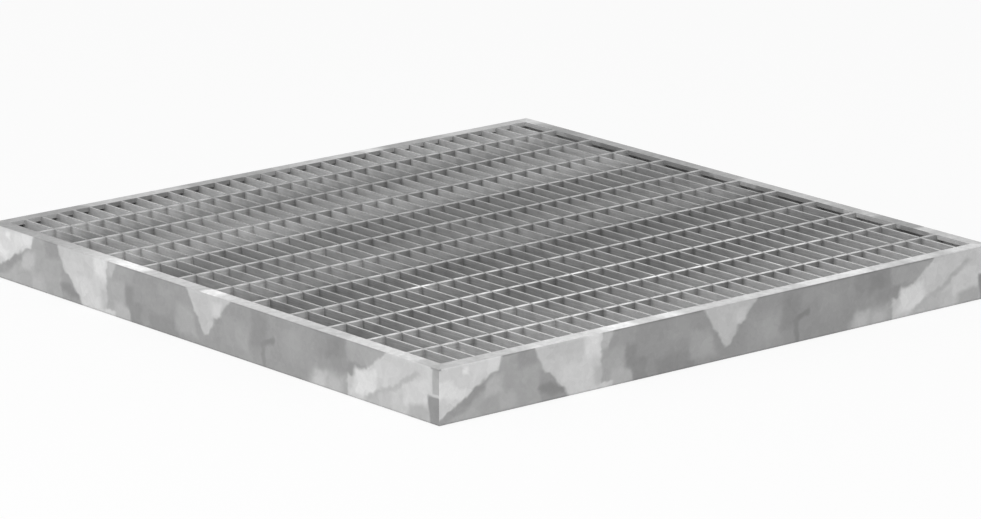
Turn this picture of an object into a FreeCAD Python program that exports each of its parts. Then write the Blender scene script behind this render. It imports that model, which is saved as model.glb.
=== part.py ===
import FreeCAD, Part
import os
import Sketcher

# Light well grate of galvanised steel: two sets of flat bars pressed together, edged all
# round with rolled channel. All sizes are in millimetres, over the zinc. The origin is the
# middle of the underside. X runs along the bearing bars, Y along the filler bars, Z up.

sizes = {
    "grate_length": 390.0,      # over the edging, along the bearing bars
    "grate_width": 390.0,       # over the edging, along the filler bars
    "grate_height": 30.0,       # edging and bearing bars alike
    "edging_width": 8.0,        # flange of the channel, the border seen from above
    "edging_thickness": 2.5,    # web and flanges of the channel
    "outer_bend": 1.0,          # radius outside the channel's two bends
    "inner_bend": 0.5,          # radius inside them
    "bearing_count": 11,
    "bearing_thickness": 2.2,
    "end_row_gap": 27.0,        # from the edging's lip to the middle of the first bearing bar
    "filler_count": 33,
    "filler_thickness": 1.2,
    "filler_depth": 10.0,
}

doc = FreeCAD.newDocument("LightWellGrate")
sheet = doc.addObject("Spreadsheet::Sheet", "Sizes")
for row, (alias, value) in enumerate(sizes.items(), start=1):
    sheet.set("A%d" % row, alias)
    sheet.set("B%d" % row, str(value))
    sheet.setAlias("B%d" % row, alias)
doc.recompute()

# Heights, depths and spacings that several pieces share, as expressions on the sheet.
top = "Sizes.grate_height"
lipBottom = "(Sizes.grate_height - Sizes.edging_thickness)"
baseTop = "Sizes.edging_thickness"
webInside = "Sizes.edging_thickness"
flangeEdge = "Sizes.edging_width"
fillerBottom = "(Sizes.grate_height - Sizes.filler_depth)"
bearingSpan = "(Sizes.grate_width - 2 * Sizes.edging_width - 2 * Sizes.end_row_gap)"
bearingPitch = bearingSpan + " / (Sizes.bearing_count - 1)"
fillerSpan = "(Sizes.grate_length - 2 * Sizes.edging_width)"
fillerPitch = fillerSpan + " / (Sizes.filler_count + 1)"


# Sketches and features

sameSpot = 0.001    # how near two points lie that are taken as one


def valueOf(expression):
    return float(sheet.evalExpression(expression))


def originPart(body, role):
    return next(part for part in body.Origin.OriginFeatures if part.Role == role)


def newBody(label, place=("0", "0", "0"), turn=0):
    """A body with its place as three expressions, turned about the vertical."""
    body = doc.addObject("PartDesign::Body", label)
    body.Label = label
    body.Placement.Rotation = FreeCAD.Rotation(FreeCAD.Vector(0, 0, 1), turn)
    for axis, expression in zip("xyz", place):
        body.setExpression("Placement.Base." + axis, expression)
    return body


def outlineSketch(body, name, role, corners):
    """A closed outline, each corner placed from the origin by two expressions."""
    sketch = body.newObject("Sketcher::SketchObject", name)
    sketch.AttachmentSupport = (originPart(body, role), [""])
    sketch.MapMode = "FlatFace"
    spots = [FreeCAD.Vector(valueOf(across), valueOf(up)) for across, up in corners]
    following = spots[1:] + spots[:1]
    for start, end in zip(spots, following):
        sketch.addGeometry(Part.LineSegment(start, end), False)
    for line, (across, up) in enumerate(corners):
        nextLine = (line + 1) % len(corners)
        sketch.addConstraint(Sketcher.Constraint("Coincident", line, 2, nextLine, 1))
        for kind, expression in (("DistanceX", across), ("DistanceY", up)):
            distance = Sketcher.Constraint(kind, -1, 1, line, 1, valueOf(expression))
            number = sketch.addConstraint(distance)
            sketch.setExpression("Constraints[%d]" % number, expression)
    return sketch


def rectangle(left, right, low, high):
    return [(left, low), (right, low), (right, high), (left, high)]


def padBothWays(body, sketch, thickness):
    pad = body.newObject("PartDesign::Pad", body.Label + "_pad")
    pad.Profile = sketch
    pad.SideType = "Symmetric"
    pad.setExpression("Length", thickness)
    return pad


def pocketBothWays(body, sketch):
    pocket = body.newObject("PartDesign::Pocket", body.Label + "_pocket")
    pocket.Profile = sketch
    pocket.SideType = "Symmetric"
    pocket.Type = "ThroughAll"
    return pocket


def roundAlongX(body, base, places, radius):
    """Rounds the edges of base that run along X through the given places in YZ."""
    doc.recompute()
    wanted = [FreeCAD.Vector(0, valueOf(across), valueOf(up)) for across, up in places]
    names = []
    for number, edge in enumerate(base.Shape.Edges, start=1):
        ends = [FreeCAD.Vector(0, corner.Y, corner.Z) for corner in edge.Vertexes]
        if any(all(end.isEqual(spot, sameSpot) for end in ends) for spot in wanted):
            names.append("Edge%d" % number)
    fillet = body.newObject("PartDesign::Fillet", body.Label + "_bends_%d" % len(body.Group))
    fillet.Base = (base, names)
    fillet.setExpression("Radius", radius)
    return fillet


# Edging: channel with its web outside and its open side towards the bars, in four lengths
# that are mitred and welded at the corners.

def edging(label, size, place, turn):
    length = "Sizes." + size
    body = newBody(label, place, turn)
    halfOutside = length + " / 2"
    halfInside = length + " / 2 - Sizes.edging_width"
    plan = [
        ("-%s" % halfOutside, "0"),
        (halfOutside, "0"),
        (halfInside, flangeEdge),
        ("-(%s)" % halfInside, flangeEdge),
    ]
    blank = body.newObject("PartDesign::Pad", label + "_pad")
    blank.Profile = outlineSketch(body, label + "_plan", "XY_Plane", plan)
    blank.setExpression("Length", top)
    hollow = rectangle(webInside, flangeEdge, baseTop, lipBottom)
    channel = pocketBothWays(body, outlineSketch(body, label + "_hollow", "YZ_Plane", hollow))
    inside = roundAlongX(body, channel, [(webInside, baseTop), (webInside, lipBottom)], "Sizes.inner_bend")
    roundAlongX(body, inside, [("0", "0"), ("0", top)], "Sizes.outer_bend")


edging("edging_front", "grate_length", ("0", "-Sizes.grate_width / 2", "0"), 0)
edging("edging_right", "grate_width", ("Sizes.grate_length / 2", "0", "0"), 90)
edging("edging_back", "grate_length", ("0", "Sizes.grate_width / 2", "0"), 180)
edging("edging_left", "grate_width", ("-Sizes.grate_length / 2", "0", "0"), -90)


# Bars: each set is evenly spaced about the middle. Their ends are notched to enter the
# channel under its lip, with the tongue's corners clipped to clear the channel's bends.

def barPlace(index, count, pitch):
    return "(%d - (Sizes.%s - 1) / 2) * %s" % (index, count, pitch)


def endSizes(size):
    """Where a bar ends, where its tongue's corners are clipped, and where its notches begin."""
    barEnd = "Sizes.%s / 2 - Sizes.edging_thickness" % size
    clipped = barEnd + " - Sizes.inner_bend"
    shoulder = "Sizes.%s / 2 - Sizes.edging_width" % size
    return barEnd, clipped, shoulder


def mirrored(rightEnd):
    """The whole outline of a bar, from its right end going up."""
    return rightEnd + [("-(%s)" % along, up) for along, up in reversed(rightEnd)]


def bearingBar(label, place):
    """A deep bar on edge, slotted from above for every filler bar."""
    body = newBody(label, ("0", place, "0"))
    barEnd, clipped, shoulder = endSizes("grate_length")
    rightEnd = [
        (shoulder, "0"),
        (shoulder, baseTop),
        (clipped, baseTop),
        (barEnd, baseTop + " + Sizes.inner_bend"),
        (barEnd, lipBottom + " - Sizes.inner_bend"),
        (clipped, lipBottom),
        (shoulder, lipBottom),
        (shoulder, top),
    ]
    side = outlineSketch(body, label + "_side", "XZ_Plane", mirrored(rightEnd))
    padBothWays(body, side, "Sizes.bearing_thickness")
    firstFiller = barPlace(0, "filler_count", fillerPitch)
    slotLeft = firstFiller + " - Sizes.filler_thickness / 2"
    slotRight = firstFiller + " + Sizes.filler_thickness / 2"
    slotOutline = rectangle(slotLeft, slotRight, fillerBottom, top)
    slot = pocketBothWays(body, outlineSketch(body, label + "_slot", "XZ_Plane", slotOutline))
    slots = body.newObject("PartDesign::LinearPattern", label + "_slots")
    slots.Originals = [slot]
    slots.Direction = (originPart(body, "X_Axis"), [""])
    slots.Mode = "Spacing"
    slots.setExpression("Offset", fillerPitch)
    slots.setExpression("Occurrences", "Sizes.filler_count")
    body.Tip = slots


def fillerBar(label, place):
    """A thin shallow bar, pressed down into the slots until flush with the top."""
    body = newBody(label, (place, "0", "0"))
    barEnd, clipped, shoulder = endSizes("grate_width")
    rightEnd = [
        (barEnd, fillerBottom),
        (barEnd, lipBottom + " - Sizes.inner_bend"),
        (clipped, lipBottom),
        (shoulder, lipBottom),
        (shoulder, top),
    ]
    side = outlineSketch(body, label + "_side", "YZ_Plane", mirrored(rightEnd))
    padBothWays(body, side, "Sizes.filler_thickness")


for index in range(sizes["bearing_count"]):
    bearingBar("bearing_bar_%02d" % (index + 1), barPlace(index, "bearing_count", bearingPitch))
for index in range(sizes["filler_count"]):
    fillerBar("filler_bar_%02d" % (index + 1), barPlace(index, "filler_count", fillerPitch))


# Build, test and write one file for each piece.

doc.recompute()
for item in doc.Objects:
    if "Invalid" in item.State or "Error" in item.State:
        raise RuntimeError("%s did not build: %s" % (item.Label, item.State))
for cut in doc.findObjects("PartDesign::Pocket") + doc.findObjects("PartDesign::LinearPattern"):
    before = cut.BaseFeature or cut.Originals[0]
    if cut.Shape.Volume >= before.Shape.Volume:
        raise RuntimeError("%s removed nothing" % cut.Label)
pieces = doc.findObjects("PartDesign::Body")
for piece in pieces:
    if piece.Shape.isNull() or not piece.Shape.isValid():
        raise RuntimeError("%s has no valid shape" % piece.Label)

os.makedirs("parts", exist_ok=True)
for piece in pieces:
    piece.Shape.exportStep("parts/%s.step" % piece.Label)
    print("%s %.1f mm3" % (piece.Label, piece.Shape.Volume))
print("mesh pitch %g by %g mm" % (valueOf(bearingPitch), valueOf(fillerPitch)))
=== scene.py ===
import math
import random
import bmesh
import bpy
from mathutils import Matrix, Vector


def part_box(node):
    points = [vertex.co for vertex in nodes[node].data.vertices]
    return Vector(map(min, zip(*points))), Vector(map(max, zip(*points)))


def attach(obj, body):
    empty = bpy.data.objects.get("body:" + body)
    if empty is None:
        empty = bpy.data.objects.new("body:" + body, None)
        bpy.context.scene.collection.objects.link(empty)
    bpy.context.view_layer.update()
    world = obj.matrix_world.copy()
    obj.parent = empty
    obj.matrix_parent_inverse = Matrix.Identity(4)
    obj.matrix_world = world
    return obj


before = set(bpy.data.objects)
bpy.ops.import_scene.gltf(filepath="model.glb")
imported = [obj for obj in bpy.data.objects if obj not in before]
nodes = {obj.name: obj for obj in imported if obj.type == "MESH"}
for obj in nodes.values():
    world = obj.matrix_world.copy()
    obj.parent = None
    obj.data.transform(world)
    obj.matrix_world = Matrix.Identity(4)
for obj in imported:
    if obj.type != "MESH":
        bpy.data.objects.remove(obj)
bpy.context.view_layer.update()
mm = 0.001

# Where the grate's own pieces lie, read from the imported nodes.

bearingBars = sorted(name for name in nodes if name.startswith("bearing_bar_"))
fillerBars = sorted(name for name in nodes if name.startswith("filler_bar_"))


def middle(name):
    low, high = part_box(name)
    return [(a + b) / 2 for a, b in zip(low, high)]


frontLow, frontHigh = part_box("edging_front")
bearingLow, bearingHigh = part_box(bearingBars[0])
fillerLow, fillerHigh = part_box(fillerBars[0])
grate = {
    "right": frontHigh[0],
    "back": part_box("edging_back")[1][1],
    "top": frontHigh[2],
    "border": frontHigh[1] - frontLow[1],           # width of the edging seen from above
    "bearingY": [middle(name)[1] for name in bearingBars],
    "fillerX": [middle(name)[0] for name in fillerBars],
    "halfBearing": (bearingHigh[1] - bearingLow[1]) / 2,
    "halfFiller": (fillerHigh[0] - fillerLow[0]) / 2,
    "fillerBottom": fillerLow[2],
}
print("frame read:", len(bearingBars), "bearing bars,", len(fillerBars), "filler bars")


# Helpers for node trees

def put(tree, kind, sockets=None, **settings):
    made = tree.nodes.new(kind)
    for name, value in settings.items():
        setattr(made, name, value)
    for key, value in (sockets or {}).items():
        if isinstance(value, bpy.types.NodeSocket):
            tree.links.new(value, made.inputs[key])
        else:
            made.inputs[key].default_value = value
    return made


def calc(tree, operation, *values, clamp=False):
    sockets = dict(enumerate(values))
    return put(tree, "ShaderNodeMath", sockets, operation=operation, use_clamp=clamp).outputs[0]


def vectorCalc(tree, operation, *values):
    made = put(tree, "ShaderNodeVectorMath", dict(enumerate(values)), operation=operation)
    return made.outputs["Value" if operation in ("DOT_PRODUCT", "DISTANCE") else "Vector"]


def split(tree, vector):
    return put(tree, "ShaderNodeSeparateXYZ", {0: vector}).outputs


def join(tree, x, y, z):
    return put(tree, "ShaderNodeCombineXYZ", {"X": x, "Y": y, "Z": z}).outputs[0]


def remap(tree, value, fromLow, fromHigh, toLow, toHigh, smooth=False):
    kind = "SMOOTHSTEP" if smooth else "LINEAR"
    sockets = {"Value": value, "From Min": fromLow, "From Max": fromHigh, "To Min": toLow, "To Max": toHigh}
    return put(tree, "ShaderNodeMapRange", sockets, interpolation_type=kind).outputs["Result"]


def dim(tree, value, mask, loss):
    return calc(tree, "MULTIPLY", value, remap(tree, mask, 0.0, 1.0, 1.0, 1 - loss))


def blendValues(tree, share, first, second):
    sockets = {"Factor": share, "A": first, "B": second}
    return put(tree, "ShaderNodeMix", sockets, data_type="FLOAT").outputs["Result"]


def noise(tree, place, size, detail=1.0, output="Fac"):
    sockets = {"Vector": place, "Scale": 1 / size, "Detail": detail}
    return put(tree, "ShaderNodeTexNoise", sockets).outputs[output]


def swing(tree, place, size):
    color = noise(tree, place, size, output="Color")
    return vectorCalc(tree, "SUBTRACT", color, (0.5, 0.5, 0.5))


def grey(value):
    return (value, value, value, 1)


def ramp(tree, value, stops, length):
    made = put(tree, "ShaderNodeValToRGB", {"Fac": calc(tree, "DIVIDE", value, length)})
    elements = made.color_ramp.elements
    while len(elements) < len(stops):
        elements.new(0.5)       # anywhere, because each gets its place below
    for element, (place, tone) in zip(elements, stops):
        element.position = place / length
        element.color = grey(tone)
    return made.outputs["Color"]


def newGroup(name, inputs, outputs):
    group = bpy.data.node_groups.new(name, "ShaderNodeTree")
    for label, value in inputs.items():
        kind = "NodeSocketVector" if isinstance(value, tuple) else "NodeSocketFloat"
        group.interface.new_socket(label, in_out="INPUT", socket_type=kind).default_value = value
    for label in outputs:
        group.interface.new_socket(label, in_out="OUTPUT", socket_type="NodeSocketFloat")
    start = group.nodes.new("NodeGroupInput")
    end = group.nodes.new("NodeGroupOutput")
    return group, start.outputs, end.inputs


def giveOut(group, end, **values):
    for label, value in values.items():
        group.links.new(value, end[label])
    return group


def useGroup(tree, group, **sockets):
    return put(tree, "ShaderNodeGroup", sockets, node_tree=group).outputs


# Zinc patches: big soft patches with straight-sided outlines, painted one over another. Each has
# four corners in millimetres: along the face from its left end as seen from outside, and down
# from its top edge. Its sides are half planes for the patch group.

faceLength = 2 * grate["right"] / mm
patchLayout = {
    "tone": 0.325, "rounding": 2.4,
    "patches": [
        # grey below the light corner at the left end
        {"corners": [(-10, -10), (62, -10), (96, 40), (-10, 40)], "soft": 1.2, "tone": 0.40},
        {"corners": [(29, 12), (42, 9), (41, 20), (27, 21)], "soft": 2.8, "tone": 0.48},
        {"corners": [(42, 4), (50, 3), (50, 21), (43, 22)], "soft": 2.6, "tone": 0.375},
        {"corners": [(40, 21), (50, 20), (52, 29), (40, 29)], "soft": 2.2, "tone": 0.445},
        {"corners": [(31, 20), (39, 19), (40, 27), (32, 28)], "soft": 2.0, "tone": 0.39},
        {"corners": [(10, 25), (26, 20), (28, 34), (8, 34)], "soft": 2.2, "tone": 0.43},
        {"corners": [(66, 11), (76, 12), (86, 24), (67, 22)], "soft": 1.6, "tone": 0.345},
        {"corners": [(66, 21), (80, 20.5), (91, 32), (67, 32)], "soft": 1.2, "tone": 0.335},
        {"corners": [(66, 21), (81, 20.6), (88, 27), (67, 25.4)], "soft": 2.0, "tone": 0.27},
        {"corners": [(51, -10), (64, -10), (66, 8), (52, 9)], "soft": 2.0, "tone": 0.335},
        {"corners": [(39, 3), (41.5, 6), (27, 16), (25, 12)], "soft": 1.3, "tone": 0.375},
        {"corners": [(17, 18), (19, 24.5), (0, 31), (-3, 26)], "soft": 1.4, "tone": 0.36},
        {"corners": [(29, 11), (30, 14), (19, 23), (13, 20)], "soft": 1.6, "tone": 0.325},
        # light corner
        {"corners": [(-14, -14), (45, -14), (38.6, 6.6), (-14, 33.6)], "soft": 1.0, "tone": 0.64},
        {"corners": [(25, -10), (46, -10), (38, 5), (24, 10)], "soft": 3.0, "tone": 0.69},
        {"corners": [(16.4, 2.8), (19.4, 2.8), (19.4, 6), (16.4, 6.2)], "soft": 1.5, "tone": 0.82},
        {"corners": [(-12, 8.4), (8.4, 7.6), (12, 13), (-12, 18.5)], "soft": 1.5, "tone": 0.75},
        {"corners": [(2, 12), (17.5, 13), (16, 17.6), (5, 18)], "soft": 1.5, "tone": 0.74},
        # first light wedge
        {"corners": [(58, -10), (107.5, -10), (109.5, 14), (70, 14)], "soft": 1.1, "tone": 0.545},
        {"corners": [(67, 7), (109.5, 7), (108, 40), (96, 40)], "soft": 1.1, "tone": 0.57},
        {"corners": [(78, 15), (102, 12), (102, 40), (94, 40)], "soft": 2.2, "tone": 0.62},
        {"corners": [(103, 17), (111, 16), (111, 27), (104, 27)], "soft": 2.0, "tone": 0.50},
        {"corners": [(97, -10), (107.5, -10), (108.5, 12), (98, 11)], "soft": 2.4, "tone": 0.69},
        {"corners": [(109, -10), (125.4, -10), (112, 11), (109, 13)], "soft": 0.9, "tone": 0.48},
        {"corners": [(109.5, 8), (126, 8), (127, 32), (108, 32)], "soft": 1.3, "tone": 0.395},
        {"corners": [(115, 20.5), (129, 21.5), (131, 33), (115, 33)], "soft": 1.6, "tone": 0.445},
        {"corners": [(100, 26.8), (117, 27.4), (117, 40), (100, 40)], "soft": 0.9, "tone": 0.60},
        # dull stretch up to the middle
        {"corners": [(122, -10), (135, -10), (132, 10), (113, 10)], "soft": 1.5, "tone": 0.352},
        {"corners": [(126.5, 9.5), (133, 10), (132.6, 22), (125, 22)], "soft": 2.2, "tone": 0.28},
        {"corners": [(129.5, 18), (140, 19), (140, 40), (130.5, 40)], "soft": 1.8, "tone": 0.282},
        {"corners": [(147, 21), (172, 20.5), (172, 31), (147, 31)], "soft": 2.2, "tone": 0.288},
        {"corners": [(155, 2), (170, 3), (169, 14), (154, 13)], "soft": 2.5, "tone": 0.342},
        {"corners": [(170, 10), (184, 11), (189, 26), (170, 26)], "soft": 2.4, "tone": 0.385},
        # second wedge
        {"corners": [(172.5, -10), (227.5, -10), (198, 23), (195, 23.5)], "soft": 1.1, "tone": 0.51},
        {"corners": [(202, 4), (211.5, 4), (211, 11.5), (202.5, 11.5)], "soft": 1.7, "tone": 0.585},
        {"corners": [(204, 12.5), (214, 11.5), (214, 23), (203, 24)], "soft": 1.3, "tone": 0.315},
        # long dull stretch
        {"corners": [(211, 8), (235, 9), (236, 31), (209, 31)], "soft": 3.0, "tone": 0.345},
        {"corners": [(222, 12), (233, 13), (234, 24), (222, 24)], "soft": 2.5, "tone": 0.37},
        {"corners": [(237, 2), (250, 3), (247, 20), (236, 20)], "soft": 3.0, "tone": 0.28},
        {"corners": [(247, 14.5), (254.5, 12), (254.5, 15.7), (246, 18.2)], "soft": 1.0, "tone": 0.25},
        {"corners": [(244.3, 16), (247.3, 16), (247.3, 33), (244.3, 33)], "soft": 1.0, "tone": 0.262},
        {"corners": [(262, 5), (277, 4), (279, 20), (263, 21)], "soft": 3.0, "tone": 0.342},
        {"corners": [(289, -10), (316, -10), (317, 12), (288, 13)], "soft": 2.6, "tone": 0.296},
        {"corners": [(299, 2), (311, 2), (311, 13), (299, 13)], "soft": 2.2, "tone": 0.265},
        {"corners": [(302, 11), (323, 10), (319, 21), (303, 21)], "soft": 1.5, "tone": 0.302},
        {"corners": [(314, -10), (360, -10), (336, 11), (315, 11)], "soft": 1.4, "tone": 0.372},
        {"corners": [(274, 40), (290, 20.5), (322, 19), (322, 40)], "soft": 3.4, "tone": 0.395},
        {"corners": [(288, 22), (299, 21), (299, 40), (288, 40)], "soft": 2.8, "tone": 0.50},
        {"corners": [(301, 23.5), (311, 22), (311, 40), (301, 40)], "soft": 2.4, "tone": 0.465},
        # light band at the right end
        {"corners": [(359.5, -10), (400, -10), (400, 13), (331.7, 13)], "soft": 1.1, "tone": 0.56},
        {"corners": [(336.5, 8), (400, 8), (400, 23), (314, 23)], "soft": 1.1, "tone": 0.56},
        {"corners": [(316, 18.5), (400, 18.5), (400, 40), (316, 40)], "soft": 1.1, "tone": 0.555},
        {"corners": [(323, 14), (340, 11.5), (339.5, 25), (319.5, 27)], "soft": 2.0, "tone": 0.675},
        {"corners": [(345, 22), (364, 18), (366, 40), (345, 40)], "soft": 1.6, "tone": 0.515},
        {"corners": [(330, 27), (352, 19), (352, 40), (329, 40)], "soft": 1.6, "tone": 0.48},
        {"corners": [(372, 4.5), (376, 6), (364, 14), (361, 12)], "soft": 1.1, "tone": 0.45},
        {"corners": [(364, 11.5), (365.5, 13.5), (332, 28), (330, 26)], "soft": 1.1, "tone": 0.45},
        {"corners": [(362, 16), (369, 10), (382, 9), (380, 23)], "soft": 1.5, "tone": 0.60},
        {"corners": [(361, 15), (382, 12), (376, 24), (362, 24)], "soft": 1.5, "tone": 0.59},
        {"corners": [(366, 23), (383, 21), (383, 40), (364, 40)], "soft": 2.4, "tone": 0.425},
        {"corners": [(379, -10), (393, -10), (393, 17), (380, 15)], "soft": 1.2, "tone": 0.58},
    ],
    # marks at the near corner: a dull strip above a dark block, with a thin light line between them
    "corner": [
        {"corners": [(-3, -2), (2.0, -2), (2.0, 1.1), (-3, 1.1)], "soft": 0.4, "tone": 0.36},
        {"corners": [(384.4, 0), (393, 0), (393, 15), (384.8, 15)], "soft": 0.9, "tone": 0.405},
        {"corners": [(384.6, 0), (393, 0), (393, 4.6), (386.6, 4.6)], "soft": 0.8, "tone": 0.365},
        {"corners": [(382.6, -2), (393, -2), (393, 0.9), (382.6, 0.9)], "soft": 0.4, "tone": 0.33},
        {"corners": [(380.8, 15.5), (393, 14.6), (393, 32), (383.4, 32)], "soft": 1.0, "tone": 0.285},
        {"corners": [(384, 13.9), (393, 13.5), (393, 15), (384, 15.4)], "soft": 0.6, "tone": 0.57},
    ],
}


patchSides = ["SideA", "SideB", "SideC", "SideD"]


def makePatchGroup():
    inputs = {"Place": (0.0, 0.0, 1.0), **{side: (0.0, 0.0, 0.0) for side in patchSides},
              "Softness": 1.0, "Below": 0.3, "Tone": 0.5}
    group, start, end = newGroup("zincPatch", inputs, ["Tone"])
    inside = None
    for side in patchSides:
        depth = vectorCalc(group, "DOT_PRODUCT", start["Place"], start[side])
        if inside is not None:
            depth = calc(group, "SMOOTH_MIN", inside, depth, patchLayout["rounding"])
        inside = depth
    outer = calc(group, "MULTIPLY", start["Softness"], -1.0)
    tone = remap(group, inside, outer, start["Softness"], start["Below"], start["Tone"], smooth=True)
    return giveOut(group, end, Tone=tone)


def halfPlanes(corners):
    center = [sum(values) / len(corners) for values in zip(*corners)]
    planes = []
    for (x1, y1), (x2, y2) in zip(corners, corners[1:] + corners[:1]):
        length = math.hypot(x2 - x1, y2 - y1)
        across, down = (y1 - y2) / length, (x2 - x1) / length
        offset = -(across * x1 + down * y1)
        facing = 1 if across * center[0] + down * center[1] + offset > 0 else -1
        planes.append((across * facing, down * facing, offset * facing))
    return planes


def makeLayoutGroup(name, patches):
    inputs = {"Place": (0.0, 0.0, 1.0), "Below": patchLayout["tone"]}
    group, start, end = newGroup(name, inputs, ["Tone"])
    tone = start["Below"]
    for patch in patches:
        planes = dict(zip(patchSides, halfPlanes(patch["corners"])))
        tone = useGroup(group, patchGroup, Place=start["Place"], **planes,
                        Softness=patch["soft"], Below=tone, Tone=patch["tone"])["Tone"]
    return giveOut(group, end, Tone=tone)


# Wander: bends the straight sides of the patches like edges of spilt colour. Between steadyFrom
# and steadyBy, near the right end, it falls to the share named steady.

wander = {"wideSize": 9.0, "wideShift": 4.6, "fineSize": 3.4, "fineShift": 2.0,
          "steadyFrom": 374.0, "steadyBy": 383.0, "steady": 0.25}


def makeWanderGroup():
    group, start, end = newGroup("zincWander", {"Point": (0.0, 0.0, 0.0)}, ["Along", "Down"])
    along = split(group, start["Point"])["X"]
    share = remap(group, along, wander["steadyFrom"], wander["steadyBy"], 1.0, wander["steady"])
    place = start["Point"]
    for size, shift in (("wideSize", "wideShift"), ("fineSize", "fineShift")):
        away = swing(group, start["Point"], wander[size])
        amount = calc(group, "MULTIPLY", share, wander[shift])
        place = vectorCalc(group, "MULTIPLY_ADD", away, join(group, amount, amount, amount), place)
    parts = split(group, place)
    return giveOut(group, end, Along=parts["X"], Down=parts["Y"])


# Grain: small flat crystals of zinc, clouds and specks, in millimetres of the object's own space

grain = {
    "crystalSize": 6.5, "flakeSize": 2.1, "bendSize": 4.0, "bendShift": 2.5,
    "cloudSize": 26.0, "speckSize": 0.55, "detail": 2.0,
    "mottleSize": 3.6, "mottleDetail": 3.0, "mottleShade": 0.55,
    "shade": {"crystal": 0.085, "flake": 0.05, "cloud": 0.16, "speck": 0.10},
    "dull": {"crystal": 0.5, "speck": 0.5},
    "height": {"speck": 0.35, "cloud": 0.5, "flake": 0.15},
}


def crystals(tree, point, size):
    cells = put(tree, "ShaderNodeTexVoronoi", {"Vector": point, "Scale": 1 / size})
    return put(tree, "ShaderNodeSeparateColor", {0: cells.outputs["Color"]}).outputs["Red"]


def weighted(tree, values, weights):
    total = 0.0
    for name, weight in weights.items():
        total = calc(tree, "MULTIPLY_ADD", values[name], weight, total)
    return total


def makeGrainGroup():
    outputs = ["Shade", "Mottle", "Dull", "Height"]
    group, start, end = newGroup("zincGrain", {"Point": (0.0, 0.0, 0.0)}, outputs)
    point = start["Point"]
    shift = grain["bendShift"]
    bend = vectorCalc(group, "MULTIPLY", swing(group, point, grain["bendSize"]), (shift, shift, shift))
    bent = vectorCalc(group, "ADD", point, bend)
    values = {
        "crystal": crystals(group, bent, grain["crystalSize"]),
        "flake": crystals(group, bent, grain["flakeSize"]),
        "cloud": noise(group, point, grain["cloudSize"], grain["detail"]),
        "speck": noise(group, point, grain["speckSize"], grain["detail"]),
    }
    shade = 1.0
    for name, amount in grain["shade"].items():
        change = calc(group, "MULTIPLY_ADD", values[name], amount, -amount / 2)
        shade = calc(group, "ADD", change, shade)
    mottle = noise(group, point, grain["mottleSize"], grain["mottleDetail"])
    mottle = calc(group, "MULTIPLY_ADD", mottle, grain["mottleShade"], 1 - grain["mottleShade"] / 2)
    dull = weighted(group, values, grain["dull"])
    height = weighted(group, values, grain["height"])
    return giveOut(group, end, Shade=shade, Mottle=mottle, Dull=dull, Height=height)


# Edge marks: rubbed brighter at the top edge, a darker line just below it, and painted shade in a
# thin line along the bottom, where the grate stands on the floor. Each is broken up by noise, given
# as two of its values and the shares of the mark that they leave.

marks = {
    "fineSize": 5.0, "wideSize": 28.0, "detail": 2.0,
    "rubDepth": 0.7, "rubNoise": (0.35, 0.6, 0.2, 1.0),
    "lineTop": 0.4, "lineBottom": 1.7, "lineNoise": (0.42, 0.58, 0.0, 1.0),
    "bottomShadeHeight": 1.5, "bottomShadeNoise": (0.35, 0.65, 1.0, 0.4),
}


def makeMarksGroup():
    group, start, end = newGroup("edgeMarks", {"Point": (0.0, 0.0, 0.0)}, ["Rub", "Line", "Grime"])
    top = grate["top"] / mm
    lineTop = marks["lineTop"]
    height = split(group, start["Point"])["Z"]
    depth = calc(group, "SUBTRACT", top, height)
    fine = noise(group, start["Point"], marks["fineSize"], marks["detail"])
    wide = noise(group, start["Point"], marks["wideSize"], marks["detail"])
    rub = remap(group, height, top - marks["rubDepth"], top, 0.0, 1.0, smooth=True)
    rub = calc(group, "MULTIPLY", rub, remap(group, fine, *marks["rubNoise"]))
    line = remap(group, depth, lineTop / 2, lineTop, 0.0, 1.0, smooth=True)
    line = calc(group, "MULTIPLY", line, remap(group, depth, lineTop, marks["lineBottom"], 1.0, 0.0))
    line = calc(group, "MULTIPLY", line, remap(group, wide, *marks["lineNoise"]))
    # painted shade along the bottom, darkest where the piece meets the floor
    bottomShade = remap(group, height, marks["bottomShadeHeight"], 0.0, 0.0, 1.0, smooth=True)
    bottomShade = calc(group, "MULTIPLY", bottomShade, remap(group, fine, *marks["bottomShadeNoise"]))
    return giveOut(group, end, Rub=rub, Line=line, Grime=bottomShade)


# Bar marks: a mask round each crossing of a bar, for painted shade in the corners on the sides and
# a dull stain on the tops, and streaks drawn out along the bar

barMarks = {"solid": 1.2, "meanReach": 4.2, "reachSize": 6.0,
            "streakLength": 14.0, "streakWidth": 0.8, "streakDetail": 2.0}


def makeBarGroup():
    inputs = {"Place": (0.0, 0.0, 1.0), "First": 0.0, "Pitch": 10.0}
    group, start, end = newGroup("barMarks", inputs, ["Stain", "Streak"])
    fromFirst = calc(group, "SUBTRACT", split(group, start["Place"])["X"], start["First"])
    distance = calc(group, "PINGPONG", fromFirst, calc(group, "MULTIPLY", start["Pitch"], 0.5))
    reach = noise(group, start["Place"], barMarks["reachSize"])
    reach = calc(group, "MULTIPLY", reach, 2 * barMarks["meanReach"])
    mask = remap(group, distance, reach, barMarks["solid"], 0.0, 1.0, smooth=True)
    scales = (1 / barMarks["streakLength"], 1 / barMarks["streakWidth"], 1.0)
    drawnOut = vectorCalc(group, "MULTIPLY", start["Place"], scales)
    return giveOut(group, end, Stain=mask, Streak=noise(group, drawnOut, 1.0, barMarks["streakDetail"]))


# Glints: painted highlights on single bar tops, as X and Y on the walking face and how much

glints = {
    "solid": 2.0, "reach": 7.5,
    "spots": [(10, -128, 0.5), (43, -128, 0.75), (-19, -96, 0.6), (-99, -63, 1.2), (-99, -52, 0.45),
              (77, -149, 0.5), (-99, -64, 0.3)],
}


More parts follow.
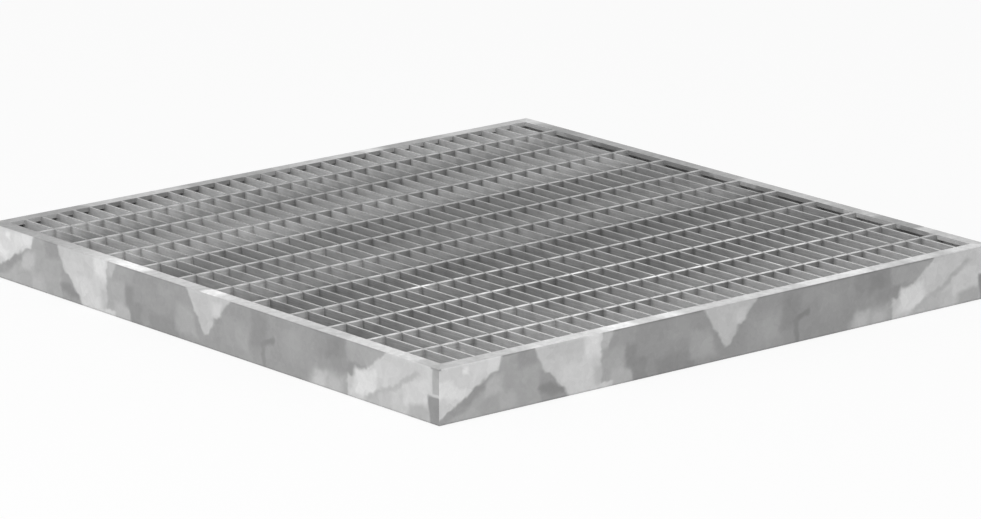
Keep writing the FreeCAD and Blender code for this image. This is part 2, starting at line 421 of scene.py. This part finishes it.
def makeGlintGroup():
    group, start, end = newGroup("glints", {"Point": (0.0, 0.0, 0.0)}, ["Gain"])
    flat = vectorCalc(group, "MULTIPLY", start["Point"], (1.0, 1.0, 0.0))
    gain = 1.0
    for x, y, strength in glints["spots"]:
        distance = vectorCalc(group, "DISTANCE", flat, (x, y, 0.0))
        spot = remap(group, distance, glints["solid"], glints["reach"], strength, 0.0, smooth=True)
        gain = calc(group, "ADD", spot, gain)
    return giveOut(group, end, Gain=gain)


patchGroup = makePatchGroup()
layoutGroup = makeLayoutGroup("zincLayout", patchLayout["patches"])
cornerGroup = makeLayoutGroup("cornerMarks", patchLayout["corner"])
wanderGroup = makeWanderGroup()
grainGroup = makeGrainGroup()
marksGroup = makeMarksGroup()
barGroup = makeBarGroup()
glintGroup = makeGlintGroup()
print("zinc patches:", len(patchLayout["patches"]))


# The finishes. Tones along a top or along a bar are stops in millimetres from the face's left
# end, and so are the factors for the tops of one set of bars, counted across it from the front.
# A ramp takes 32 stops at most.

# The first stops darken the filler faces at their far end: a painted shadow where they meet the back lip.
fillerSide = [(9, 0.40), (11.5, 0.58), (14, 0.59), (19, 0.70), (41, 0.62), (44, 0.55), (49, 0.535),
              (53, 0.40), (63, 0.37), (72, 0.475), (82, 0.545), (97, 0.55), (108, 0.61), (117, 0.525),
              (124, 0.40), (132, 0.335), (158, 0.325), (170, 0.385), (184, 0.405), (197, 0.45),
              (216, 0.41), (220, 0.29), (241, 0.268), (250, 0.32), (264, 0.338), (285, 0.305),
              (304, 0.283), (314, 0.36), (340, 0.425), (347, 0.42), (356, 0.54), (390, 0.49)]
bearingSide = [(0, 0.68), (38, 0.69), (46, 0.50), (62, 0.41), (72, 0.48), (78, 0.56), (97, 0.585),
               (100, 0.70), (109, 0.70), (113, 0.55), (127, 0.43), (132, 0.345), (160, 0.355),
               (170, 0.39), (181, 0.40), (185, 0.48), (216, 0.43), (220, 0.315), (236, 0.33),
               (246, 0.305), (250, 0.325), (288, 0.32), (292, 0.32), (313, 0.32), (318, 0.375),
               (342, 0.40), (348, 0.51), (376, 0.515), (390, 0.50)]
# bend: painted shade on the edging's bend; line: a darker line just below the top edge
edgingFinish = {"side": None, "sideShade": 1.0, "corner": False, "line": 0.10, "bend": 0.12}
fillerPitch = (grate["fillerX"][1] - grate["fillerX"][0]) / mm
bearingPitch = (grate["bearingY"][1] - grate["bearingY"][0]) / mm
bearingFinish = {
    "axis": "X", "direction": 1.0, "side": bearingSide, "sideShade": 1.0, "rub": 0.05,
    "across": [(0, 1.5), (36, 1.5), (67, 1.62), (100, 1.46), (131, 1.26), (163, 1.06), (260, 0.97),
               (310, 0.90), (355, 0.92)],
    # round each crossing: a dull stain on the tops, painted shade in the corners on the sides
    "stain": 0.22, "sideStain": 0.22, "firstCross": grate["fillerX"][0] / mm, "crossPitch": fillerPitch,
}
# The tops' tones are lighter than the sides': partly painted sheen of a low view, partly the zinc's own
# bright patches.
finishes = {
    "frontZinc": {
        # painted shade: the front face is made a little darker than the other faces
        **edgingFinish, "nodes": ["edging_front"], "axis": "X", "direction": 1.0, "sideShade": 0.97,
        "corner": True, "line": 0.22, "bend": 0.22,
        "top": [(0, 0.47), (10, 0.52), (48, 0.51), (58, 0.64), (66, 0.70), (98, 0.67), (110, 0.66),
                (117, 0.90), (132, 0.92), (136, 0.62), (150, 0.63), (155, 0.87), (162, 0.87),
                (167, 0.65), (190, 0.60), (215, 0.67), (250, 0.60), (257, 0.76), (274, 0.73),
                (290, 0.82), (300, 0.80), (303, 0.67), (328, 0.57), (333, 0.69), (346, 0.67),
                (356, 0.52), (362, 0.66), (390, 0.68)],
    },
    "leftZinc": {
        **edgingFinish, "nodes": ["edging_left"], "axis": "Y", "direction": -1.0, "corner": True,
        "top": [(0, 0.32), (40, 0.37), (75, 0.48), (96, 0.56), (104, 0.69), (112, 0.74), (118, 0.93),
                (137, 0.93), (141, 0.60), (166, 0.57), (190, 0.52), (195, 0.90), (203, 0.90),
                (207, 0.62), (250, 0.60), (272, 0.59), (287, 0.53), (300, 0.56), (320, 0.63),
                (350, 0.70), (366, 0.66), (376, 0.50), (390, 0.44)],
    },
    "backZinc": {
        **edgingFinish, "nodes": ["edging_back"], "axis": "X", "direction": -1.0,
        "top": [(0, 0.59), (20, 0.48), (40, 0.50), (60, 0.53), (78, 0.39), (112, 0.36), (118, 0.66),
                (126, 0.68), (129, 0.54), (170, 0.51), (192, 0.46), (204, 0.375), (254, 0.40),
                (262, 0.52), (290, 0.53), (324, 0.48), (330, 0.34), (358, 0.34), (364, 0.37),
                (390, 0.36)],
    },
    "rightZinc": {
        **edgingFinish, "nodes": ["edging_right"], "axis": "Y", "direction": 1.0,
        "top": [(0, 0.58), (40, 0.50), (44, 0.60), (49, 0.60), (53, 0.33), (82, 0.35), (88, 0.53),
                (96, 0.53), (102, 0.44), (120, 0.47), (142, 0.55), (166, 0.46), (186, 0.51),
                (194, 0.53), (200, 0.40), (230, 0.38), (276, 0.335), (290, 0.38), (326, 0.42),
                (335, 0.38), (344, 0.33), (360, 0.335), (370, 0.42), (376, 0.60), (390, 0.66)],
    },
    "nearBearingZinc": {
        **bearingFinish, "nodes": bearingBars[:4],
        "top": [(0, 0.39), (50, 0.42), (75, 0.50), (120, 0.51), (150, 0.49), (200, 0.475), (250, 0.465),
                (300, 0.46), (320, 0.42), (345, 0.34), (390, 0.33)],
    },
    "farBearingZinc": {
        **bearingFinish, "nodes": bearingBars[4:],
        "top": [(0, 0.56), (24, 0.54), (36, 0.50), (75, 0.505), (105, 0.495), (120, 0.51), (134, 0.45),
                (150, 0.435), (220, 0.40), (250, 0.41), (300, 0.495), (325, 0.485), (345, 0.445),
                (390, 0.445)],
    },
    # painted shade: the zinc fillets in the corners take a darker side tone and a dark top
    "crossingZinc": {
        **bearingFinish, "nodes": [], "sideShade": 0.62, "top": [(0, 0.30), (390, 0.30)],
    },
    "fillerZinc": {
        "nodes": fillerBars,
        "axis": "Y", "direction": -1.0, "side": fillerSide, "sideShade": 1.0, "rub": 0.04,
        "top": [(0, 0.355), (30, 0.345), (40, 0.30), (64, 0.295), (70, 0.275), (97, 0.28), (102, 0.33),
                (130, 0.335), (135, 0.345), (240, 0.35), (262, 0.43), (300, 0.48), (320, 0.50),
                (350, 0.515), (390, 0.56)],
        "across": [(0, 1.06), (110, 1.03), (150, 0.88), (250, 0.88), (290, 0.98), (390, 0.98)],
        # round each crossing: a dull stain on the tops, painted shade in the corners on the sides
        "stain": 0.22, "sideStain": 0.40, "firstCross": grate["bearingY"][0] / mm, "crossPitch": bearingPitch,
    },
}
zincShader = {
    "metallic": 0.45, "bumpStrength": 0.5, "bumpDepth": 0.00012,
    "roughTones": (0.27, 0.75), "roughness": (0.62, 0.44), "roughSpread": 0.12,
    "dullToLight": (0.40, 0.52),                        # tones where dull zinc ends, light zinc begins
    "sideToTop": (0.7, 0.95),                           # how far up a face looks, where the lighter top tone takes over
    "bendStart": (0.1, 0.4), "bendEnd": (0.8, 0.97),    # the same, round the edging's bend, where painted shade goes
    # the first share here is how much of the bend's painted shade stays on light patches
    "bendShadeOnLight": 0.35, "bottomShadeLoss": 0.4, "streakShade": 0.34,
}


def sideTone(tree, finish, bent):
    if finish["side"]:
        tone = ramp(tree, bent["Along"], finish["side"], faceLength)
    else:
        place = join(tree, bent["Along"], bent["Down"], 1.0)
        tone = useGroup(tree, layoutGroup, Place=place, Below=patchLayout["tone"])["Tone"]
        if finish["corner"]:
            tone = useGroup(tree, cornerGroup, Place=place, Below=tone)["Tone"]
    return calc(tree, "MULTIPLY", tone, finish["sideShade"])


def acrossFactor(tree, finish, across):
    most = 2.0      # the ramp holds the factors as shares of this
    shares = [(stop, factor / most) for stop, factor in finish["across"]]
    fromFront = calc(tree, "ADD", across, faceLength / 2)
    return remap(tree, ramp(tree, fromFront, shares, faceLength), 0.0, 1.0, 0.0, most)


# Where painted shade falls on the edging's bend, less of it on light patches
def bendShadeMask(tree, facing, side):
    start = remap(tree, facing, *zincShader["bendStart"], 0.0, 1.0)
    end = remap(tree, facing, *zincShader["bendEnd"], 1.0, 0.0)
    share = remap(tree, side, *zincShader["dullToLight"], 1.0, zincShader["bendShadeOnLight"])
    return calc(tree, "MULTIPLY", calc(tree, "MINIMUM", start, end), share)


def zincMaterial(name, finish):
    material = bpy.data.materials.new(name)
    material.use_nodes = True
    tree = material.node_tree
    shader = tree.nodes["Principled BSDF"]
    isBar = finish["side"] is not None

    # Places in millimetres, and how far up the face looks
    coordinates = put(tree, "ShaderNodeTexCoord").outputs
    point = vectorCalc(tree, "MULTIPLY", coordinates["Object"], (1 / mm, 1 / mm, 1 / mm))
    facing = split(tree, coordinates["Normal"])["Z"]
    parts = split(tree, point)
    length, across = parts[finish["axis"]], parts["Y" if finish["axis"] == "X" else "X"]
    along = calc(tree, "MULTIPLY_ADD", length, finish["direction"], faceLength / 2)
    down = calc(tree, "SUBTRACT", grate["top"] / mm, parts["Z"])

    # Tones of the sides and of the top, with the bars' own marks. The top tone is lighter, partly as
    # painted sheen of a low view and partly by the zinc's own bright patches
    bent = useGroup(tree, wanderGroup, Point=join(tree, along, down, across))
    detail = useGroup(tree, grainGroup, Point=point)
    edge = useGroup(tree, marksGroup, Point=point)
    side = sideTone(tree, finish, bent)
    top = calc(tree, "MULTIPLY", ramp(tree, bent["Along"], finish["top"], faceLength), detail["Mottle"])
    if isBar:
        upright = join(tree, length, down, 1.0)
        bar = useGroup(tree, barGroup, Place=upright, First=finish["firstCross"], Pitch=finish["crossPitch"])
        # painted shade in the corners round each crossing, a dull stain on the tops
        side = dim(tree, side, bar["Stain"], finish["sideStain"])
        top = dim(tree, top, bar["Stain"], finish["stain"])
        # painted highlights on single bar tops
        top = calc(tree, "MULTIPLY", top, useGroup(tree, glintGroup, Point=point)["Gain"])
        top = calc(tree, "MULTIPLY", top, acrossFactor(tree, finish, across))
    tone = blendValues(tree, remap(tree, facing, *zincShader["sideToTop"], 0.0, 1.0), side, top)

    # Marks over both
    if isBar:
        streakShade = zincShader["streakShade"]
        tone = calc(tree, "MULTIPLY_ADD", edge["Rub"], finish["rub"], tone)
        streak = remap(tree, bar["Streak"], 0.0, 1.0, 1 - streakShade, 1 + streakShade)
        tone = calc(tree, "MULTIPLY", tone, streak)
    else:
        # painted shade on the edging's bend, dulling its lit edge
        tone = dim(tree, tone, bendShadeMask(tree, facing, side), finish["bend"])
        onDull = remap(tree, side, *zincShader["dullToLight"], 1.0, 0.0)
        tone = dim(tree, tone, calc(tree, "MULTIPLY", edge["Line"], onDull), finish["line"])
    # painted shade along the bottom of each piece
    tone = dim(tree, tone, edge["Grime"], zincShader["bottomShadeLoss"])
    tone = calc(tree, "MULTIPLY", tone, detail["Shade"], clamp=True)

    # The shader's own sockets
    color = put(tree, "ShaderNodeCombineColor", {"Red": tone, "Green": tone, "Blue": tone}).outputs[0]
    spread = zincShader["roughSpread"]
    rough = remap(tree, tone, *zincShader["roughTones"], *zincShader["roughness"])
    rough = calc(tree, "MULTIPLY_ADD", detail["Dull"], spread, calc(tree, "SUBTRACT", rough, spread / 2))
    bump = put(tree, "ShaderNodeBump", {"Strength": zincShader["bumpStrength"],
                                        "Distance": zincShader["bumpDepth"], "Height": detail["Height"]})
    tree.links.new(color, shader.inputs["Base Color"])
    tree.links.new(rough, shader.inputs["Roughness"])
    tree.links.new(bump.outputs[0], shader.inputs["Normal"])
    shader.inputs["Metallic"].default_value = zincShader["metallic"]
    return material


# Sharp edges of the steel are rounded by the zinc.

rounding = {"width": 0.00016, "segments": 2, "angle": 38, "sameSpot": 0.00001}


def roundEdges(piece):
    weld = piece.modifiers.new("joinFaces", "WELD")
    weld.merge_threshold = rounding["sameSpot"]
    bevel = piece.modifiers.new("roundEdges", "BEVEL")
    bevel.width = rounding["width"]
    bevel.segments = rounding["segments"]
    bevel.limit_method = "ANGLE"
    bevel.angle_limit = math.radians(rounding["angle"])
    bevel.harden_normals = True


materials = {}
for finishName, finish in finishes.items():
    materials[finishName] = zincMaterial(finishName, finish)
    for name in finish["nodes"]:
        nodes[name].data.materials.clear()
        nodes[name].data.materials.append(materials[finishName])
        roundEdges(nodes[name])
    print(finishName, "on", len(finish["nodes"]), "nodes")


# Zinc that stayed in the corners: a small hollow fillet in each upright corner where two bars
# cross, where a bar meets the edging's lip above and where a bearing bar meets its foot below.
# Each is given as heights above its bottom and radii there, in metres.

# The fillets take the crossing finish, which is painted dark as shade in the corners.
cornerZinc = {
    "seed": 7, "arcPoints": 2, "sunk": 0.00008, "uneven": (0.75, 1.25),
    "crossing": [(-0.0005, 0.0002), (0.0005, 0.00055), (0.0055, 0.0004), (0.0097, 0.00022)],
    "lip": [(-0.0003, 0.0002), (0.0006, 0.00055), (0.0022, 0.00025)],
    "foot": [(0.0002, 0.0003), (0.0018, 0.0007), (0.0029, 0.0003)],
}


def skin(mesh, rings):
    for first, second in zip(rings, rings[1:]):
        for k in range(len(first)):
            following = (k + 1) % len(first)
            mesh.faces.new((first[k], first[following], second[following], second[k]))


def cornerFillet(mesh, corner, bottom, towardX, towardY, levels, rng):
    rings = []
    sunk = cornerZinc["sunk"]
    count = cornerZinc["arcPoints"] + 1
    for height, radius in levels:
        radius *= rng.uniform(*cornerZinc["uneven"])
        outline = [(-sunk, -sunk), (radius, -sunk)]
        for step in range(1, count):
            angle = step / count * math.pi / 2
            outline.append((radius * (1 - math.sin(angle)), radius * (1 - math.cos(angle))))
        outline.append((-sunk, radius))
        rings.append([mesh.verts.new((corner[0] + towardX * x, corner[1] + towardY * y, bottom + height))
                      for x, y in outline])
    skin(mesh, rings)
    mesh.faces.new(rings[0])
    mesh.faces.new(rings[-1])


smoothBelow = 50    # degrees between faces of an added piece


def finishPiece(name, mesh, material):
    bmesh.ops.recalc_face_normals(mesh, faces=mesh.faces)
    data = bpy.data.meshes.new(name)
    mesh.to_mesh(data)
    mesh.free()
    data.materials.append(material)
    for face in data.polygons:
        face.use_smooth = True
    data.set_sharp_from_angle(angle=math.radians(smoothBelow))
    piece = bpy.data.objects.new(name, data)
    bpy.context.scene.collection.objects.link(piece)
    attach(piece, "root")
    return piece


def makeCrossingZinc():
    rng = random.Random(cornerZinc["seed"])
    mesh = bmesh.new()
    bottom, levels = grate["fillerBottom"], cornerZinc["crossing"]
    for y in grate["bearingY"]:
        for x in grate["fillerX"]:
            for towardX in (-1, 1):
                for towardY in (-1, 1):
                    corner = (x + towardX * grate["halfFiller"], y + towardY * grate["halfBearing"])
                    cornerFillet(mesh, corner, bottom, towardX, towardY, levels, rng)
    return finishPiece("crossingZinc", mesh, materials["crossingZinc"])


def makeBorderZinc():
    rng = random.Random(cornerZinc["seed"] + 1)
    mesh = bmesh.new()
    lipX = grate["right"] - grate["border"]
    lipY = grate["back"] - grate["border"]
    lipBottom = bearingHigh[2] - lipThickness()
    for y in grate["bearingY"]:
        for side in (-1, 1):
            for toward in (-1, 1):
                corner = (side * lipX, y + toward * grate["halfBearing"])
                cornerFillet(mesh, corner, lipBottom, -side, toward, cornerZinc["lip"], rng)
                cornerFillet(mesh, corner, 0, -side, toward, cornerZinc["foot"], rng)
    for x in grate["fillerX"]:
        for side in (-1, 1):
            for toward in (-1, 1):
                corner = (x + toward * grate["halfFiller"], side * lipY)
                cornerFillet(mesh, corner, lipBottom, toward, -side, cornerZinc["lip"], rng)
    return finishPiece("borderZinc", mesh, materials["crossingZinc"])


def lipThickness():
    sameSpot = 0.0001
    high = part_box("edging_front")[1]
    lipEdge = [v.co.z for v in nodes["edging_front"].data.vertices if abs(v.co.y - high[1]) < sameSpot]
    return high[2] - min(z for z in lipEdge if z > high[2] / 2)


# Drops that froze below the filler bars on the way out of the zinc bath

drops = {
    "seed": 21, "share": 0.4, "clear": 0.003, "radius": (0.00045, 0.0008), "hang": (0.0005, 0.0012),
    "stretch": (1.2, 2.6), "taper": 0.8, "sunk": 0.00015, "sides": 8, "rings": 4,
}


def drop(mesh, x, y, radius, hang, stretch):
    sides = drops["sides"]
    turns = [k / sides * 2 * math.pi for k in range(sides)]
    rings = []
    for ring in range(drops["rings"]):
        share = ring / drops["rings"]
        height = grate["fillerBottom"] + drops["sunk"] - share * hang
        halfLength = radius * math.cos(share * math.pi / 2) ** drops["taper"]
        halfWidth = min(halfLength, grate["halfFiller"])
        rings.append([mesh.verts.new((x + halfWidth * math.cos(turn),
                                      y + halfLength * stretch * math.sin(turn), height))
                      for turn in turns])
    tip = mesh.verts.new((x, y, grate["fillerBottom"] - hang))
    skin(mesh, rings)
    for k in range(sides):
        mesh.faces.new((rings[-1][k], rings[-1][(k + 1) % sides], tip))
    mesh.faces.new(rings[0])


def makeDrops():
    rng = random.Random(drops["seed"])
    mesh = bmesh.new()
    lipY = grate["back"] - grate["border"]
    rows = [-lipY] + grate["bearingY"] + [lipY]
    for x in grate["fillerX"]:
        for near, far in zip(rows, rows[1:]):
            if rng.random() > drops["share"]:
                continue
            y = rng.uniform(near + drops["clear"], far - drops["clear"])
            radius, hang = rng.uniform(*drops["radius"]), rng.uniform(*drops["hang"])
            drop(mesh, x, y, radius, hang, rng.uniform(*drops["stretch"]))
    return finishPiece("zincDrops", mesh, materials["fillerZinc"])


for piece in (makeCrossingZinc(), makeBorderZinc(), makeDrops()):
    print(piece.name, len(piece.data.polygons), "faces")


# Floor, light and camera

stage = {"floorSize": 6.0, "floorDrop": 0.0002, "floorColor": 0.92, "backColor": 0.99, "shadowShare": 0.15,
         "worldLight": 0.6}


def makeFloor():
    bpy.ops.mesh.primitive_plane_add(size=stage["floorSize"], location=(0, 0, -stage["floorDrop"]))
    floor = bpy.context.object
    floor.name = "studioFloor"
    material = bpy.data.materials.new("paleFloor")
    material.use_nodes = True
    tree = material.node_tree
    tree.nodes.clear()
    matte = put(tree, "ShaderNodeBsdfDiffuse", {"Color": grey(stage["floorColor"])})
    glow = put(tree, "ShaderNodeEmission", {"Color": grey(stage["backColor"])})
    share = calc(tree, "MULTIPLY", seenRays(tree), 1 - stage["shadowShare"])
    both = put(tree, "ShaderNodeMixShader", {0: share, 1: matte.outputs[0], 2: glow.outputs[0]})
    below = put(tree, "ShaderNodeNewGeometry").outputs["Backfacing"]
    clear = put(tree, "ShaderNodeBsdfTransparent")
    oneSided = put(tree, "ShaderNodeMixShader", {0: below, 1: both.outputs[0], 2: clear.outputs[0]})
    put(tree, "ShaderNodeOutputMaterial", {"Surface": oneSided.outputs[0]})
    floor.data.materials.append(material)


def seenRays(tree):
    ray = put(tree, "ShaderNodeLightPath").outputs
    seen = calc(tree, "MAXIMUM", ray["Is Camera Ray"], ray["Is Glossy Ray"])
    return calc(tree, "MAXIMUM", seen, ray["Is Transmission Ray"])


def makeWorld():
    world = bpy.data.worlds.new("studioWorld")
    world.use_nodes = True
    tree = world.node_tree
    tree.nodes.clear()
    strength = remap(tree, seenRays(tree), 0.0, 1.0, stage["worldLight"], stage["backColor"])
    back = put(tree, "ShaderNodeBackground", {"Color": grey(1), "Strength": strength})
    put(tree, "ShaderNodeOutputWorld", {"Surface": back.outputs[0]})
    bpy.context.scene.world = world


lamps = {
    "keyLight": {"place": (-2.2, -0.9, 2.2), "size": 1.6, "power": 56},
    "sideLight": {"place": (1.2, -2.4, 1.6), "size": 1.6, "power": 4},
}


def makeLamps():
    for name, lamp in lamps.items():
        light = bpy.data.lights.new(name, "AREA")
        light.shape = "SQUARE"
        light.size = lamp["size"]
        light.energy = lamp["power"]
        holder = bpy.data.objects.new(name, light)
        holder.location = lamp["place"]
        holder.rotation_euler = (-Vector(lamp["place"])).to_track_quat("-Z", "Y").to_euler()
        bpy.context.scene.collection.objects.link(holder)


view = {"place": (-1.99944, -2.37969, 0.83276), "turn": (75.2605, -0.0291, -40.0707), "lens": 214.677,
        "sensor": 36.0}


def makeCamera():
    camera = bpy.data.cameras.new("photoCamera")
    camera.sensor_fit = "HORIZONTAL"
    camera.sensor_width = view["sensor"]
    camera.lens = view["lens"]
    holder = bpy.data.objects.new("photoCamera", camera)
    holder.location = view["place"]
    holder.rotation_euler = [math.radians(angle) for angle in view["turn"]]
    bpy.context.scene.collection.objects.link(holder)
    bpy.context.scene.camera = holder


makeFloor()
makeWorld()
makeLamps()
makeCamera()
bpy.context.scene.view_settings.view_transform = "Standard"
print("stage, light and camera set")
